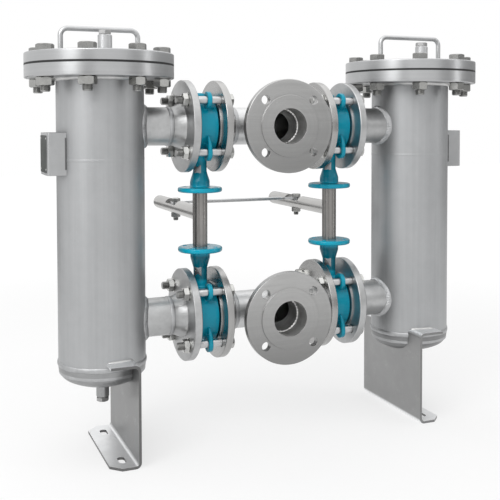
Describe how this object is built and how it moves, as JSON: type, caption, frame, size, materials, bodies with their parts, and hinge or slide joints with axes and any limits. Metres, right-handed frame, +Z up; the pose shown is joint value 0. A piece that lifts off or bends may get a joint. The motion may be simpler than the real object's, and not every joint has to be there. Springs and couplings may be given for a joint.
{
  "type": "duplex strainer",
  "caption": "Twin basket strainer: bolted vessels joined by flanged headers and butterfly valves, with linked levers that switch the flow from one vessel to the other.",
  "frame": {"origin": "on the floor, midway between the vessels, in the plane of the vessel and header axes", "axes": "+Z up, +X along the headers from the left vessel to the right one, -Y the way the inlet and outlet flanges face"},
  "size_m": [0.9832, 0.4405, 0.825],
  "materials": {
    "vessel_stainless": "bead-blasted and pickled stainless plate",
    "machined_stainless": "turned stainless with fine concentric marks",
    "pipe_stainless": "pickled stainless pipe",
    "plate_stainless": "cold-rolled stainless plate, satin",
    "inner_stainless": "satin stainless",
    "rod_stainless": "drawn stainless bar",
    "disc_stainless": "cast and polished stainless",
    "shaft_steel": "brushed steel bar",
    "lever_steel": "drawn stainless bar, satin",
    "bolt_steel": "bright stainless fasteners",
    "teal_paint": "glossy teal enamel on cast iron",
    "rubber": "black EPDM",
    "gasket": "black fibre sheet"
  },
  "bodies": {
    "frame": {"cover_bolts": "bolt_steel", "cover_gaskets": "gasket", "cover_nuts": "bolt_steel", "flange_bolts": "bolt_steel", "flange_nuts": "bolt_steel", "left_basket": "inner_stainless", "left_body_flange": "machined_stainless", "left_bottom_cap": "vessel_stainless", "left_cover": "machined_stainless", "left_cover_handle": "rod_stainless", "left_drain_coupling": "rod_stainless", "left_leg": "plate_stainless", "left_nameplate_bracket": "plate_stainless", "left_seat_ring": "inner_stainless", "left_shell": "vessel_stainless", "left_vent_coupling": "rod_stainless", "lower_branch_flange": "machined_stainless", "lower_left_nozzle": "pipe_stainless", "lower_left_valve_body": "teal_paint", "lower_right_nozzle": "pipe_stainless", "lower_right_valve_body": "teal_paint", "lower_run_flanges": "machined_stainless", "lower_tee": "pipe_stainless", "right_basket": "inner_stainless", "right_body_flange": "machined_stainless", "right_bottom_cap": "vessel_stainless", "right_cover": "machined_stainless", "right_cover_handle": "rod_stainless", "right_drain_coupling": "rod_stainless", "right_leg": "plate_stainless", "right_nameplate_bracket": "plate_stainless", "right_seat_ring": "inner_stainless", "right_shell": "vessel_stainless", "right_vent_coupling": "rod_stainless", "screw_plugs": "bolt_steel", "upper_branch_flange": "machined_stainless", "upper_left_nozzle": "pipe_stainless", "upper_left_valve_body": "teal_paint", "upper_right_nozzle": "pipe_stainless", "upper_right_valve_body": "teal_paint", "upper_run_flanges": "machined_stainless", "upper_tee": "pipe_stainless", "valve_liners": "rubber"},
    "left_spindle": {"left_shaft": "shaft_steel", "left_lever": "lever_steel", "left_link_bolt": "bolt_steel", "left_link_nut": "bolt_steel", "upper_left_disc": "disc_stainless", "upper_left_stem": "disc_stainless", "lower_left_disc": "disc_stainless", "lower_left_stem": "disc_stainless"},
    "right_spindle": {"right_shaft": "shaft_steel", "right_lever": "lever_steel", "right_link_bolt": "bolt_steel", "right_link_nut": "bolt_steel", "upper_right_disc": "disc_stainless", "upper_right_stem": "disc_stainless", "lower_right_disc": "disc_stainless", "lower_right_stem": "disc_stainless"},
    "tie_rod": {"tie_rod": "rod_stainless"}
  },
  "joints": [
    {"name": "left_shaft_turn", "type": "hinge", "parent": "frame", "child": "left_spindle", "pos_m": [-0.147, 0, 0.443], "axis": [0, 0, 1], "range_deg": [-45, 45]},
    {"name": "right_shaft_turn", "type": "hinge", "parent": "frame", "child": "right_spindle", "pos_m": [0.147, 0, 0.443], "axis": [0, 0, 1], "range_deg": [-45, 45]},
    {"name": "tie_rod_pivot", "type": "hinge", "parent": "left_spindle", "child": "tie_rod", "pos_m": [-0.147, 0.167, 0.464], "axis": [0, 0, 1], "range_deg": [-45, 45]}
  ],
  "couplings": [
    {"joint": "right_shaft_turn", "follows": "left_shaft_turn", "ratio": 1},
    {"joint": "tie_rod_pivot", "follows": "left_shaft_turn", "ratio": -1}
  ]
}
